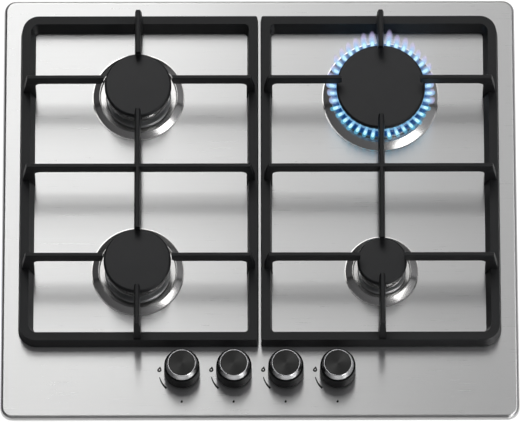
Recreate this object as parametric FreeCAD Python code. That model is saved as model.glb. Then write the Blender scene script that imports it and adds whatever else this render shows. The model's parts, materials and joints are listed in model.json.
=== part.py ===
"""Built-in gas cooktop with four burners.

Millimetres, +Z up, front towards -Y. The origin is the middle of the tray's underside.
"""
import FreeCAD, Part
import math
import os

V = FreeCAD.Vector

# ---------------------------------------------------------------- driving dimensions
# Panel
panel_width = 590.0
panel_depth = 510.0
panel_corner = 14.0
panel_edge_radius = 4.0
panel_sheet = 1.0
rim_depth = 8.0
rim_flange = 12.0

# Worktop cut-out and tray
rim_overlap = 15.0
cutout_gap = 3.5
depth_below_worktop = 46.0
tray_sheet = 1.0
tray_corner = 8.0
recess_width = 70.0
recess_depth = 60.0
recess_height = 26.0
seal_width = 7.0
seal_thickness = 2.0
seal_inset = 4.0

# Burner places, from the panel's side, rear and front edges
burner_side_inset = 155.7
rear_burner_inset = 120.5
front_burner_inset = 176.0

# Burner sizes: cap radius, cap top above the panel, crest and foot radii of the collar,
# throat radius, number of flame ports, and reach of the fingers beside and behind the cap
LARGE = dict(cap=51.0, top=35.5, crest=56.5, collar=67.2, throat=12.0, ports=38, tip_x=45.0, tip_y=41.5)
MIDDLE = dict(cap=38.4, top=41.0, crest=44.6, collar=53.2, throat=9.0, ports=28, tip_x=39.3, tip_y=34.5)
SMALL = dict(cap=28.4, top=38.0, crest=33.3, collar=42.5, throat=5.5, ports=20, tip_x=25.0, tip_y=22.0)

# Parts common to all burners
collar_rise = 4.5
collar_sheet = 1.0
collar_wall = 1.4
flange_thickness = 2.5
flange_to_cap = 1.0
lip_width = 2.5
cup_wall = 2.5
cup_floor = 3.0
cup_bottom_z = 10.0
cap_thickness = 9.0
cap_edge = 6.0
cap_round = 2.5
cap_locating_depth = 2.2
spreader_overhang = 2.0
spreader_bevel = 1.5
spreader_skirt = 14.7
spreader_wall = 4.0
chamber_depth = 11.0
spigot_depth = 7.0
port_width = 1.8
port_depth = 4.5
probe_inset = 7.0
probe_notch = 5.2
electrode_radius = 3.0
electrode_shoulder = 4.2
pin_radius = 1.2
thermocouple_radius = 2.25
electrode_angle = 45.0
thermocouple_angle = 135.0
jet_hex = 7.0
jet_height = 4.0
jet_bore = 2.6
jet_orifice = 0.6

# Pan supports, from the panel's side, rear and front edges
support_side_inset = 19.8
support_middle_gap = 2.7
support_rear_inset = 25.0
support_front_inset = 85.0
frame_height = 17.5
frame_lift = 1.5
outer_bar_width = 17.2
middle_bar_width = 12.6
outer_slope = 2.2
middle_slope = 1.1
bar_top_width = 9.8
frame_corner = 21.0
frame_inner_corner = 4.5
finger_top = 57.0
finger_depth = 12.5
finger_top_width = 4.8
finger_low_width = 7.4
finger_foot_width = 9.0
finger_edge = 0.9
finger_tip_slope = 3.5
finger_end_inset = 9.2
finger_heel_inset = 3.9
leg_margin = 0.8
leg_fillet = 7.0
rear_row_shift = 3.5
middle_row_shift = 2.25
front_row_shift = 1.0
foot_radius = 5.0
foot_pocket = 3.0

# Knobs
knob_pitch = 59.0
knob_row_inset = 55.0
knob_radius = 20.3
knob_draft = 0.3
knob_shoulder = 1.6
knob_top = 33.0
knob_ring_bottom = 25.0
knob_ring_radius = 18.1
knob_insert_radius = 15.0
knob_insert_thickness = 2.0
knob_wall = 2.2
knob_hub_radius = 7.0
knob_travel = 3.5
knob_mark_width = 1.8
lit_knob_turn = 150.0

# Taps and gas rail
spindle_radius = 4.0
spindle_flat = 2.4
spindle_reach = 20.0
spindle_hole_radius = 6.0
shoulder_radius = 5.2
shoulder_thickness = 1.5
thrust_ring_radius = 7.5
thrust_ring_thickness = 1.5
switch_strip = 3.0
switch_strip_width = 15.0
tap_half_width = 11.0
tap_half_depth = 13.0
tap_bottom_z = 12.0
tap_top_z = 42.0
neck_height = 2.0
neck_radius = 8.0
rail_radius = 6.0
rail_offset = 24.0
rail_z = 36.0
rail_overhang = 16.0
clamp_height = 12.0
clamp_half_width = 9.0
clamp_depth = 9.0
pipe_radius = 4.0
pipe_z = 18.0
pipe_bend = 18.0
outlet_radius = 5.2
inlet_boss_radius = 6.5
inlet_boss_length = 8.0
tap_bore_floor = 6.0

# Gas inlet, mains inlet and electrical boxes
inlet_thread_radius = 10.45
inlet_thread_length = 14.0
inlet_hex = 27.0
inlet_hex_height = 5.5
inlet_body_radius = 13.0
gland_bore = 3.5
gland_inset = 10.0
gland_radius = 6.0
gland_length = 10.0
generator_width = 48.0
generator_length = 64.0
generator_height = 22.0
generator_side_gap = 14.0
generator_distance = 172.5
outlet_stub_radius = 3.0
outlet_stub_length = 7.0
outlet_stub_pitch = 12.0
terminal_length = 30.0
terminal_height = 16.0
terminal_pitch = 11.0
terminal_way = 8.0
terminal_wall = 3.0
terminal_gap = 8.0

# Fasteners and brackets
screw_radius = 1.45
screw_head_radius = 3.2
screw_head = 1.6
screw_length = 8.0
screw_slot = 0.8
clamp_screw_radius = 2.0
clamp_screw_head_radius = 3.5
clamp_screw_head = 2.4
clamp_screw_grip = 6.0
clamp_screw_offset = 9.0
bracket_width = 20.0
bracket_height = 20.0
bracket_foot = 12.0
bracket_sheet = 1.5
bracket_inset = 91.5
clip_inset = 86.5
clip_width = 24.0
clip_sheet = 1.0
clip_plate = 12.0
clip_bend = 8.0
clip_slack = 0.2

# Clearances
rest_gap = 0.3
running_gap = 0.05
free_gap = 0.5
reach = 5.0

# ---------------------------------------------------------------- derived places
panel_top_z = depth_below_worktop + rim_depth
panel_under_z = panel_top_z - panel_sheet
tray_half_x = panel_width / 2 - rim_overlap - cutout_gap
tray_half_y = panel_depth / 2 - rim_overlap - cutout_gap
bracket_x = tray_half_x - bracket_inset
clip_y = tray_half_y - clip_inset
burner_x = panel_width / 2 - burner_side_inset
rear_burner_y = panel_depth / 2 - rear_burner_inset
front_burner_y = front_burner_inset - panel_depth / 2
support_outer_x = panel_width / 2 - support_side_inset
support_rear_y = panel_depth / 2 - support_rear_inset
support_front_y = support_front_inset - panel_depth / 2
rear_row_y = rear_burner_y + rear_row_shift
middle_row_y = (rear_burner_y + front_burner_y) / 2 + middle_row_shift
front_row_y = front_burner_y + front_row_shift
knob_row_y = knob_row_inset - panel_depth / 2
recess_x = tray_half_x - recess_width
recess_y = tray_half_y - recess_depth
inlet_x = recess_x + recess_width / 2
inlet_y = recess_y + recess_depth / 2
gland_y = recess_y + gland_inset
flange_low_z = panel_top_z + collar_sheet
flange_top_z = flange_low_z + flange_thickness
rail_y = knob_row_y + rail_offset
knob_under_z = panel_top_z + knob_travel + free_gap + 0.2
finger_under = finger_top - finger_depth

BURNERS = {
    "front_left": (-burner_x, front_burner_y, MIDDLE),
    "rear_left": (-burner_x, rear_burner_y, MIDDLE),
    "rear_right": (burner_x, rear_burner_y, LARGE),
    "front_right": (burner_x, front_burner_y, SMALL),
}
KNOBS = {place: ((index - 1.5) * knob_pitch, knob_row_y) for index, place in enumerate(BURNERS)}
KNOB_TURN = {"rear_right": lit_knob_turn}


# ---------------------------------------------------------------- helpers
def save(node, shape):
    """Write one node; a list becomes a group of separate solids."""
    if isinstance(shape, list):
        shape = Part.makeCompound(shape)
    shape.exportStep("parts/" + node + ".step")


def box(x0, x1, y0, y1, z0, z1):
    return Part.makeBox(x1 - x0, y1 - y0, z1 - z0, V(x0, y0, z0))


def cylinder(x, y, z0, z1, radius):
    return Part.makeCylinder(radius, z1 - z0, V(x, y, z0))


def cylinder_y(x, y0, y1, z, radius):
    return Part.makeCylinder(radius, y1 - y0, V(x, y0, z), V(0, 1, 0))


def hexagon(x, y, z0, z1, across_flats):
    radius = across_flats / math.sqrt(3)
    corners = [V(x + radius * math.cos(math.radians(60 * k)), y + radius * math.sin(math.radians(60 * k)), z0)
               for k in range(7)]
    return Part.Face(Part.makePolygon(corners)).extrude(V(0, 0, z1 - z0))


def outline(start, steps, plane="xz"):
    """Closed wire from straight steps (a, b) and arcs (via a, via b, a, b)."""
    def point(a, b):
        return V(a, 0, b) if plane == "xz" else V(a, b, 0)
    edges = []
    here = point(*start)
    for step in steps + [start]:
        there = point(*step[-2:])
        if len(step) == 4:
            edges.append(Part.Arc(here, point(*step[:2]), there).toShape())
        elif (there - here).Length > 1e-6:
            edges.append(Part.LineSegment(here, there).toShape())
        here = there
    return Part.Wire(edges)


def turned(start, steps, x=0.0, y=0.0):
    """Solid of revolution about the vertical through (x, y); points are (radius, z)."""
    solid = Part.Face(outline(start, steps)).revolve(V(0, 0, 0), V(0, 0, 1), 360)
    solid.translate(V(x, y, 0))
    return solid


def rounded_rectangle(x0, x1, y0, y1, z, radii):
    """Wire with its own radius at each corner: low-low, high-low, high-high, low-high."""
    corners = [V(x0, y0, z), V(x1, y0, z), V(x1, y1, z), V(x0, y1, z)]
    edges = []
    ends = []
    for k in range(4):
        corner = corners[k]
        towards_last = (corners[k - 1] - corner).normalize()
        towards_next = (corners[(k + 1) % 4] - corner).normalize()
        start = corner + towards_last * radii[k]
        end = corner + towards_next * radii[k]
        centre = corner + (towards_last + towards_next) * radii[k]
        middle = centre + (corner - centre).normalize() * radii[k]
        ends.append((start, middle, end))
    for k in range(4):
        start, middle, end = ends[k]
        edges.append(Part.Arc(start, middle, end).toShape())
        edges.append(Part.LineSegment(end, ends[(k + 1) % 4][0]).toShape())
    return Part.Wire(edges)


def rounded_block(half_x, half_y, z0, z1, radius):
    wire = rounded_rectangle(-half_x, half_x, -half_y, half_y, z0, [radius] * 4)
    return Part.Face(wire).extrude(V(0, 0, z1 - z0))


def bent_rod(points, bend, radius):
    """Rod along straight runs joined by arcs of the bend radius."""
    edges = []
    here = points[0]
    for before, corner, after in zip(points, points[1:], points[2:]):
        run_in = (corner - before).normalize()
        run_out = (after - corner).normalize()
        half_turn = run_in.getAngle(run_out) / 2
        setback = bend * math.tan(half_turn)
        start = corner - run_in * setback
        end = corner + run_out * setback
        inward = (run_out - run_in).normalize()
        middle = corner + inward * (bend / math.cos(half_turn) - bend)
        edges.append(Part.LineSegment(here, start).toShape())
        edges.append(Part.Arc(start, middle, end).toShape())
        here = end
    edges.append(Part.LineSegment(here, points[-1]).toShape())
    direction = points[1] - points[0]
    ring = Part.Wire(Part.makeCircle(radius, points[0], direction))
    return Part.Wire(edges).makePipeShell([ring], True, True)


def fused(shapes):
    return shapes[0].multiFuse(shapes[1:]).removeSplitter()


def around(x, y, radius, angle):
    return x + radius * math.cos(math.radians(angle)), y + radius * math.sin(math.radians(angle))


# ---------------------------------------------------------------- burner radii
def flange_radius(size):
    return size["cap"] - flange_to_cap


def panel_hole(size):
    return flange_radius(size) - lip_width


def probe_circle(size):
    return flange_radius(size) - probe_inset


def spreader_radius(size):
    return size["cap"] - spreader_overhang


def spreader_top(size):
    return panel_top_z + size["top"] - cap_thickness - rest_gap


def neck(size):
    return probe_circle(size) - probe_notch


def cup_radius(size):
    return neck(size) - 1.2


def cup_bore(size):
    return cup_radius(size) - cup_wall


# ---------------------------------------------------------------- panel, tray and seal
def top_panel():
    """Pressed sheet: flat top, rolled edge, and a flange folded inwards under the rim."""
    low = panel_top_z - rim_depth
    shell = rounded_block(panel_width / 2, panel_depth / 2, low, panel_top_z, panel_corner)
    shell = shell.makeFillet(panel_edge_radius, top_edges(shell, panel_top_z))
    hollow = rounded_block(panel_width / 2 - panel_sheet, panel_depth / 2 - panel_sheet,
                           low + panel_sheet, panel_under_z, panel_corner - panel_sheet)
    hollow = hollow.makeFillet(panel_edge_radius - panel_sheet, top_edges(hollow, panel_under_z))
    mouth = rounded_block(panel_width / 2 - rim_flange, panel_depth / 2 - rim_flange,
                          low - reach, low + 2 * panel_sheet, panel_corner)
    holes = [cylinder(x, y, low, panel_top_z + reach, panel_hole(size)) for x, y, size in BURNERS.values()]
    holes += [cylinder(x, y, low, panel_top_z + reach, spindle_hole_radius) for x, y in KNOBS.values()]
    return shell.cut(hollow).cut([mouth] + holes)


def top_edges(solid, z):
    return [edge for edge in solid.Edges if all(abs(vertex.Z - z) < 1e-6 for vertex in edge.Vertexes)]


def base_tray():
    """Open sheet box under the panel, with a recess at the rear right for the connections."""
    walls = rounded_block(tray_half_x, tray_half_y, 0, panel_under_z, tray_corner)
    recess = box(recess_x, tray_half_x + reach, recess_y, tray_half_y + reach, -reach, recess_height)
    inside = rounded_block(tray_half_x - tray_sheet, tray_half_y - tray_sheet, tray_sheet,
                           panel_under_z + reach, tray_corner - tray_sheet)
    inside = inside.cut(box(recess_x - tray_sheet, tray_half_x, recess_y - tray_sheet, tray_half_y,
                            0, recess_height + tray_sheet))
    cuts = [inside, recess, cylinder(inlet_x, inlet_y, 0, panel_top_z, inlet_thread_radius + free_gap)]
    cuts.append(Part.makeCylinder(gland_radius, reach * 2, V(recess_x - reach, gland_y, recess_height / 2),
                                  V(1, 0, 0)))
    cuts += screw_shanks(running_gap)
    return walls.cut(cuts)


def rim_seal():
    """Foam strip under the folded flange."""
    high = panel_top_z - rim_depth
    outer = rounded_block(panel_width / 2 - seal_inset, panel_depth / 2 - seal_inset,
                          high - seal_thickness, high, panel_corner - seal_inset)
    inset = seal_inset + seal_width
    inner = rounded_block(panel_width / 2 - inset, panel_depth / 2 - inset,
                          high - seal_thickness - reach, high + reach, 3.0)
    return outer.cut(inner)


# ---------------------------------------------------------------- brackets, clips and screws
clip_screw_z = panel_under_z - 17.0
bracket_screw_z = panel_under_z - bracket_height / 2 - 2.0


def screw_places():
    """Head seat and inward direction of every tray screw."""
    places = []
    for side in (-1, 1):
        for x in (-bracket_x, bracket_x):
            places.append((V(x, side * tray_half_y, bracket_screw_z), V(0, -side, 0)))
        for y in (-clip_y, clip_y):
            places.append((V(side * (tray_half_x + clip_sheet), y, clip_screw_z), V(-side, 0, 0)))
    return places


def screw_shanks(gap):
    return [Part.makeCylinder(screw_radius + gap, screw_length, seat, inward) for seat, inward in screw_places()]


def tray_screws():
    screws = []
    for seat, inward in screw_places():
        head = Part.makeCylinder(screw_head_radius, screw_head, seat - inward * screw_head, inward)
        shank = Part.makeCylinder(screw_radius, screw_length, seat, inward)
        slot = Part.makeBox(screw_slot, screw_slot, 2 * screw_head_radius,
                            seat - inward * screw_head - V(screw_slot / 2, screw_slot / 2, screw_head_radius))
        screws.append(head.fuse(shank).cut(slot))
    return screws


def tray_brackets():
    """Angles spot-welded under the panel; the tray is screwed to them from outside."""
    brackets = []
    for side in (-1, 1):
        wall = side * (tray_half_y - tray_sheet)
        for x in (-bracket_x, bracket_x):
            rows = sorted((wall, wall - side * bracket_sheet))
            foot = sorted((wall, wall - side * bracket_foot))
            left, right = x - bracket_width / 2, x + bracket_width / 2
            upright = box(left, right, rows[0], rows[1], panel_under_z - bracket_height, panel_under_z)
            flat = box(left, right, foot[0], foot[1], panel_under_z - bracket_sheet, panel_under_z)
            brackets.append(upright.fuse(flat).removeSplitter().cut(screw_shanks(running_gap)))
    return brackets


def worktop_clips():
    """Bowed spring strips on the tray's sides; they grip the cut-out's edge."""
    top = clip_screw_z + clip_plate / 2
    elbow = top - clip_plate
    crown = elbow - clip_bend
    end = crown - clip_bend
    bow = cutout_gap - clip_slack
    inset = 0.8 * clip_sheet
    start = (0.0, top)
    steps = [(clip_sheet, top), (clip_sheet, elbow), (bow, crown), (clip_sheet, end), (0.0, end),
             (0.0, end + inset), (bow - 1.1 * clip_sheet, crown), (0.0, elbow - inset)]
    clips = []
    for side in (-1, 1):
        for y in (-clip_y, clip_y):
            clip = Part.Face(outline(start, steps)).extrude(V(0, clip_width, 0))
            clip.translate(V(tray_half_x, -clip_width / 2, 0))
            if side < 0:
                clip.rotate(V(0, 0, 0), V(0, 0, 1), 180)
            clip.translate(V(0, y, 0))
            clips.append(clip.cut(screw_shanks(running_gap)))
    return clips


# ---------------------------------------------------------------- burners
def burner_cap(x, y, size):
    """Enamelled disc with a rounded edge and a ring below that centres it."""
    top = panel_top_z + size["top"]
    radius = size["cap"]
    seat = top - cap_thickness
    rim = spreader_radius(size) - spreader_wall - free_gap
    slant = cap_round * (1 - math.sqrt(0.5))
    steps = [(radius - cap_round, top - 0.2),
             (radius - slant, top - 0.2 - slant, radius, top - cap_round),
             (radius, top - cap_edge + 1), (radius - 1, top - cap_edge),
             (spreader_radius(size) - 0.5, seat), (rim, seat), (rim, seat - cap_locating_depth),
             (rim - 2, seat - cap_locating_depth), (rim - 2, top - cap_thickness / 2),
             (0, top - cap_thickness / 2)]
    return turned((0, top), steps, x, y)


def flame_spreader(x, y, size):
    """Cast ring: spigot, bevelled skirt, mixing chamber, throat and a crown of flame ports."""
    top = spreader_top(size)
    radius = spreader_radius(size)
    low = max(top - spreader_skirt, flange_top_z + rest_gap + 2)
    seat = flange_top_z + rest_gap
    spigot = cup_bore(size) - rest_gap
    throat = size["throat"]
    body = turned((throat, flange_top_z - spigot_depth),
                  [(spigot, flange_top_z - spigot_depth), (spigot, seat), (neck(size), seat),
                   (neck(size), low), (radius - spreader_bevel, low), (radius, low + spreader_bevel),
                   (radius, top), (throat, top)])
    chamber = turned((throat + 2, top - chamber_depth),
                     [(radius - spreader_wall, top - chamber_depth), (radius - spreader_wall, top + 1),
                      (0, top + 1), (0, top - port_depth - 1), (throat + 2, top - port_depth - 1)])
    notches = []
    for angle in (electrode_angle, thermocouple_angle):
        px, py = around(0, 0, probe_circle(size), angle)
        chamber = chamber.cut(cylinder(px, py, top - chamber_depth - 1,
                                       top - cap_locating_depth - free_gap, probe_notch + 2))
        slot = box(0, 2 * probe_notch + probe_inset, -probe_notch, probe_notch, seat - 1, top + 1)
        slot.rotate(V(0, 0, 0), V(0, 0, 1), angle)
        slot.translate(V(px, py, 0))
        notches.append(cylinder(px, py, seat - 1, top + 1, probe_notch).fuse(slot))
    notch_half_angle = math.degrees(math.asin((probe_notch + 2.5) / radius))
    ports = []
    for k in range(size["ports"]):
        angle = 360.0 * (k + 0.5) / size["ports"]
        if min(abs(angle - electrode_angle), abs(angle - thermocouple_angle)) < notch_half_angle:
            continue
        port = box(radius - spreader_wall - 1, radius + 1, -port_width / 2, port_width / 2,
                   top - port_depth, top + 1)
        port.rotate(V(0, 0, 0), V(0, 0, 1), angle)
        ports.append(port)
    spreader = body.cut(chamber).cut(notches + ports)
    spreader.translate(V(x, y, 0))
    return spreader


def burner_collar(x, y, size):
    """Polished ring: a flat dish that the cup's flange lies on, a crest and an outer slope."""
    inner = panel_hole(size)
    crest = size["crest"]
    dish = crest - collar_wall
    foot = size["collar"]
    top = panel_top_z + collar_rise
    middle = (crest + foot) / 2
    steps = [(dish + collar_sheet, panel_top_z), (crest + 0.4, top - collar_sheet - 0.2),
             (foot - 1.6, panel_top_z), (foot, panel_top_z), (foot, panel_top_z + 0.4),
             (middle, panel_top_z + collar_rise * 0.6, crest + 0.9, top - 0.15),
             (crest, top + 0.1, crest - 0.8, top - 0.3),
             (dish, flange_low_z), (inner, flange_low_z)]
    return turned((inner, panel_top_z), steps, x, y)


def burner_cup(x, y, size):
    """Die-cast cup under the panel: flange, jet seat, gas channel and probe holes."""
    radius = cup_radius(size)
    bore = cup_bore(size)
    flange = flange_radius(size)
    hub = jet_hex / 2 + 2.5
    jet_seat = pipe_z + inlet_boss_radius
    floor = cup_bottom_z + cup_floor
    cup = turned((0, cup_bottom_z),
                 [(radius - 2, cup_bottom_z), (radius, cup_bottom_z + 2), (radius, flange_low_z),
                  (flange, flange_low_z), (flange, flange_top_z - 1), (flange - 1, flange_top_z),
                  (bore, flange_top_z), (bore, floor), (hub, floor), (hub, jet_seat), (0, jet_seat)])
    boss = cylinder_y(0, -radius - inlet_boss_length, -bore - cup_wall / 2, pipe_z, inlet_boss_radius)
    rib = box(-inlet_boss_radius + 1.5, inlet_boss_radius - 1.5, -bore - 1, -hub + 1.5, floor - 1,
              jet_seat - 0.5)
    cuts = [cylinder_y(0, -radius - inlet_boss_length - 1, 0, pipe_z, jet_bore),
            cylinder(0, 0, pipe_z - jet_bore, jet_seat + 1, jet_bore)]
    for angle, probe in ((electrode_angle, electrode_radius), (thermocouple_angle, thermocouple_radius)):
        px, py = around(0, 0, probe_circle(size), angle)
        cuts.append(cylinder(px, py, flange_low_z - reach, flange_top_z + reach, probe + running_gap))
    cup = fused([cup, boss, rib]).cut(cuts)
    cup.translate(V(x, y, 0))
    return cup


def gas_jet(x, y):
    seat = pipe_z + inlet_boss_radius
    jet = hexagon(0, 0, seat, seat + jet_height, jet_hex)
    jet = jet.fuse(cylinder(0, 0, seat - jet_height, seat, jet_bore - running_gap)).removeSplitter()
    jet = jet.cut(cylinder(0, 0, seat - 2 * jet_height, seat + 2 * jet_height, jet_orifice))
    jet.translate(V(x, y, 0))
    return jet


def electrode_top(size):
    return spreader_top(size) - cap_locating_depth - free_gap - 0.5


def spark_insulator(x, y, size):
    px, py = around(x, y, probe_circle(size), electrode_angle)
    top = electrode_top(size) - 5
    return turned((0, flange_low_z - 16),
                  [(electrode_radius, flange_low_z - 16), (electrode_radius, flange_top_z),
                   (electrode_shoulder, flange_top_z), (electrode_shoulder, flange_top_z + 2),
                   (electrode_radius, flange_top_z + 3), (electrode_radius, top - 1),
                   (electrode_radius - 1, top), (0, top)], px, py)


def spark_pin(x, y, size):
    px, py = around(x, y, probe_circle(size), electrode_angle)
    top = electrode_top(size)
    return cylinder(px, py, top - 5, top, pin_radius)


def thermocouple(x, y, size):
    px, py = around(x, y, probe_circle(size), thermocouple_angle)
    top = electrode_top(size) - 1
    slim = thermocouple_radius
    return turned((0, flange_low_z - 18),
                  [(slim, flange_low_z - 18), (slim, flange_top_z), (slim + 1.4, flange_top_z),
                   (slim + 1.4, flange_top_z + 1.5), (slim, flange_top_z + 1.5), (slim, top - 2),
                   (slim * 0.7, top - 0.5), (0, top)], px, py)


# ---------------------------------------------------------------- pan supports
base_z = panel_top_z + frame_lift
frame_top_z = base_z + frame_height
finger_top_z = panel_top_z + finger_top
finger_under_z = panel_top_z + finger_under


def frame_ring(side):
    """Four bars of sloped section; the bar in the middle of the cooktop is narrower."""
    def wires(middle, outer, front, rear, outer_radius, middle_radius, z):
        low, high = sorted((side * middle, side * outer))
        near_left, near_right = (outer_radius, middle_radius) if side < 0 else (middle_radius, outer_radius)
        return rounded_rectangle(low, high, front, rear, z, [near_left, near_right, near_right, near_left])

    middle_x = support_middle_gap / 2
    outer_top = outer_slope + bar_top_width
    middle_top = middle_slope + bar_top_width
    outer = Part.makeLoft([
        wires(middle_x, support_outer_x, support_front_y, support_rear_y, frame_corner, 2.5, base_z),
        wires(middle_x + middle_slope, support_outer_x - outer_slope, support_front_y + outer_slope,
              support_rear_y - outer_slope, frame_corner - outer_slope, 2.0, frame_top_z)], True, True)
    inner = Part.makeLoft([
        wires(middle_x + middle_bar_width + 0.1, support_outer_x - outer_bar_width - 0.1,
              support_front_y + outer_bar_width + 0.1, support_rear_y - outer_bar_width - 0.1,
              frame_inner_corner, frame_inner_corner, base_z - 0.3),
        wires(middle_x + middle_top - 0.1, support_outer_x - outer_top + 0.3,
              support_front_y + outer_top - 0.3, support_rear_y - outer_top + 0.3,
              frame_inner_corner + 5, frame_inner_corner + 1, frame_top_z + 0.5)], True, True)
    return outer.cut(inner)


def finger(length, bar_width, tip=True):
    """Finger along +X from the frame's outer edge at x = 0, standing on its leg."""
    leg = bar_width + leg_margin
    slope = finger_tip_slope if tip else 0.0
    bend = leg_fillet * (1 - math.sqrt(0.5))
    steps = [(length, finger_top_z), (length, finger_under_z + slope), (length - slope, finger_under_z),
             (leg + leg_fillet, finger_under_z),
             (leg + bend, finger_under_z - bend, leg, finger_under_z - leg_fillet),
             (leg, base_z), (finger_heel_inset, base_z), (finger_heel_inset, frame_top_z)]
    face = Part.Face(outline((finger_end_inset, finger_top_z), steps))
    plate = face.extrude(V(0, 2 * finger_foot_width, 0))
    plate.translate(V(0, -finger_foot_width, 0))
    return plate.common(taper(length))


def taper(length):
    """Long prism with the fingers' section: narrow on top, wider towards the foot."""
    top = finger_top_width / 2
    half = [(top - finger_edge, finger_top_z), (top, finger_top_z - finger_edge),
            (finger_low_width / 2, finger_under_z), (finger_foot_width / 2, base_z)]
    right = [V(0, y, z) for y, z in half]
    left = [V(0, -y, z) for y, z in reversed(half)]
    section = Part.Face(Part.makePolygon(right + left + [right[0]]))
    return section.extrude(V(length, 0, 0))


def along(shape, x, y, angle):
    placed = shape.copy()
    placed.rotate(V(0, 0, 0), V(0, 0, 1), angle)
    placed.translate(V(x, y, 0))
    return placed


def bridge(from_y, to_y):
    """Bar between the two burners, with no leg; both ends are sloped underneath."""
    slope = finger_tip_slope
    length = to_y - from_y
    steps = [(length, finger_top_z), (length, finger_under_z + slope), (length - slope, finger_under_z),
             (slope, finger_under_z), (0, finger_under_z + slope)]
    face = Part.Face(outline((0, finger_top_z), steps))
    plate = face.extrude(V(0, 2 * finger_foot_width, 0))
    plate.translate(V(0, -finger_foot_width, 0))
    return along(plate.common(taper(length)), 0, from_y, 90)


def pan_support(side, front, rear):
    """One casting: frame, fingers over two burners and the bars between them."""
    middle_x = support_middle_gap / 2
    centre = burner_x
    pieces = [frame_ring(side)]
    outwards, inwards = (180, 0) if side > 0 else (0, 180)
    for row_y, size in ((rear_row_y, rear), (front_row_y, front)):
        outer_length = support_outer_x - centre - size["tip_x"]
        middle_length = centre - middle_x - size["tip_x"]
        pieces.append(along(finger(outer_length, outer_bar_width), side * support_outer_x, row_y, outwards))
        pieces.append(along(finger(middle_length, middle_bar_width), side * middle_x, row_y, inwards))
    outer_half = finger(support_outer_x - centre, outer_bar_width, False)
    middle_half = finger(centre - middle_x, middle_bar_width, False)
    pieces.append(along(outer_half, side * support_outer_x, middle_row_y, outwards))
    pieces.append(along(middle_half, side * middle_x, middle_row_y, inwards))
    rear_length = support_rear_y - rear_burner_y - rear["tip_y"]
    front_length = front_burner_y - front["tip_y"] - support_front_y
    pieces.append(along(finger(rear_length, outer_bar_width), side * centre, support_rear_y, 270))
    pieces.append(along(finger(front_length, outer_bar_width), side * centre, support_front_y, 90))
    pieces.append(along(bridge(front_burner_y + front["tip_y"], rear_burner_y - rear["tip_y"]),
                        side * centre, 0, 0))
    casting = fused(pieces)
    pockets = [cylinder(x, y, base_z - 1, base_z + foot_pocket, foot_radius + running_gap)
               for x, y in foot_places(side)]
    return casting.cut(pockets)


def foot_places(side):
    outer = support_outer_x - frame_corner * 0.75
    middle = support_middle_gap / 2 + middle_bar_width / 2
    rear = support_rear_y - outer_bar_width / 2
    front = support_front_y + outer_bar_width / 2
    return [(side * x, y) for x in (outer, middle) for y in (front, rear)]


def pan_support_feet(side):
    return [turned((0, panel_top_z + rest_gap),
                   [(foot_radius - 1, panel_top_z + rest_gap), (foot_radius, panel_top_z + rest_gap + 0.8),
                    (foot_radius, base_z + foot_pocket), (0, base_z + foot_pocket)], x, y)
            for x, y in foot_places(side)]


# ---------------------------------------------------------------- knobs
def knob(x, y, turn):
    """Hollow moulding: nearly straight wall, round shoulder, a hub and a seat for ring and insert."""
    seat = panel_top_z + knob_ring_bottom
    crown = panel_top_z + knob_top - 0.4 - knob_insert_thickness
    wall = knob_radius - knob_draft
    land = wall - knob_shoulder
    bulge = knob_shoulder * math.sqrt(0.5)
    boss = knob_insert_radius + 0.1
    body = turned((knob_radius - knob_wall, knob_under_z),
                  [(knob_radius, knob_under_z), (wall, seat - knob_shoulder),
                   (land + bulge, seat - knob_shoulder + bulge, land, seat), (boss, seat), (boss, crown),
                   (0, crown), (0, knob_under_z + 1), (knob_hub_radius, knob_under_z + 1),
                   (knob_hub_radius, crown - knob_wall), (boss - knob_wall, crown - knob_wall),
                   (boss - knob_wall, seat - knob_wall), (wall - knob_wall, seat - knob_wall)])
    socket = spindle_end(panel_top_z, panel_top_z + spindle_reach + rest_gap, running_gap)
    return along(body.cut(socket), x, y, turn)


def spindle_end(z0, z1, gap):
    """D-shaped end of the spindle, or its socket when given a gap."""
    rod = cylinder(0, 0, z0, z1, spindle_radius + gap)
    return rod.cut(box(-reach, reach, spindle_flat + gap, 2 * reach, z0, z1))


def knob_ring(x, y, turn):
    """Bevelled trim ring with a small mark that points to the setting."""
    seat = panel_top_z + knob_ring_bottom
    top = panel_top_z + knob_top
    bore = knob_insert_radius + 0.2
    ring = turned((bore, seat),
                  [(knob_ring_radius, seat), (knob_ring_radius, seat + 0.8), (bore + 0.9, top - 0.4),
                   (bore + 0.5, top), (bore, top)])
    mark = box(-knob_mark_width / 2, knob_mark_width / 2, bore + 0.5, knob_radius, seat + 3, top + 1)
    return along(ring.cut(mark), x, y, turn)


def knob_insert(x, y, turn):
    """Disc that closes the knob's top."""
    top = panel_top_z + knob_top - 0.4
    disc = turned((0, top - knob_insert_thickness),
                  [(knob_insert_radius, top - knob_insert_thickness), (knob_insert_radius, top - 0.5),
                   (knob_insert_radius - 0.5, top), (0, top)])
    return along(disc, x, y, turn)


# ---------------------------------------------------------------- taps and gas ways
neck_top_z = tap_top_z + neck_height
strip_top_z = neck_top_z + switch_strip
thrust_ring_z = strip_top_z + knob_travel + 0.4
shoulder_z = thrust_ring_z + thrust_ring_thickness + rest_gap


def tap_spindle(x, y, turn):
    """Turning shaft: round in the tap, a shoulder on the thrust ring, a D-shaped end."""
    low = tap_bottom_z + tap_bore_floor + knob_travel + 1
    flat_from = knob_under_z + 1
    shaft = cylinder(0, 0, low, flat_from, spindle_radius)
    shoulder = cylinder(0, 0, shoulder_z, shoulder_z + shoulder_thickness, shoulder_radius)
    end = spindle_end(flat_from, panel_top_z + spindle_reach, 0)
    return along(fused([shaft, shoulder, end]), x, y, turn)


def thrust_ring(x, y):
    top = thrust_ring_z + thrust_ring_thickness
    ring = cylinder(x, y, thrust_ring_z, top, thrust_ring_radius)
    return ring.cut(cylinder(x, y, thrust_ring_z - 1, top + 1, spindle_radius + running_gap))


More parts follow.
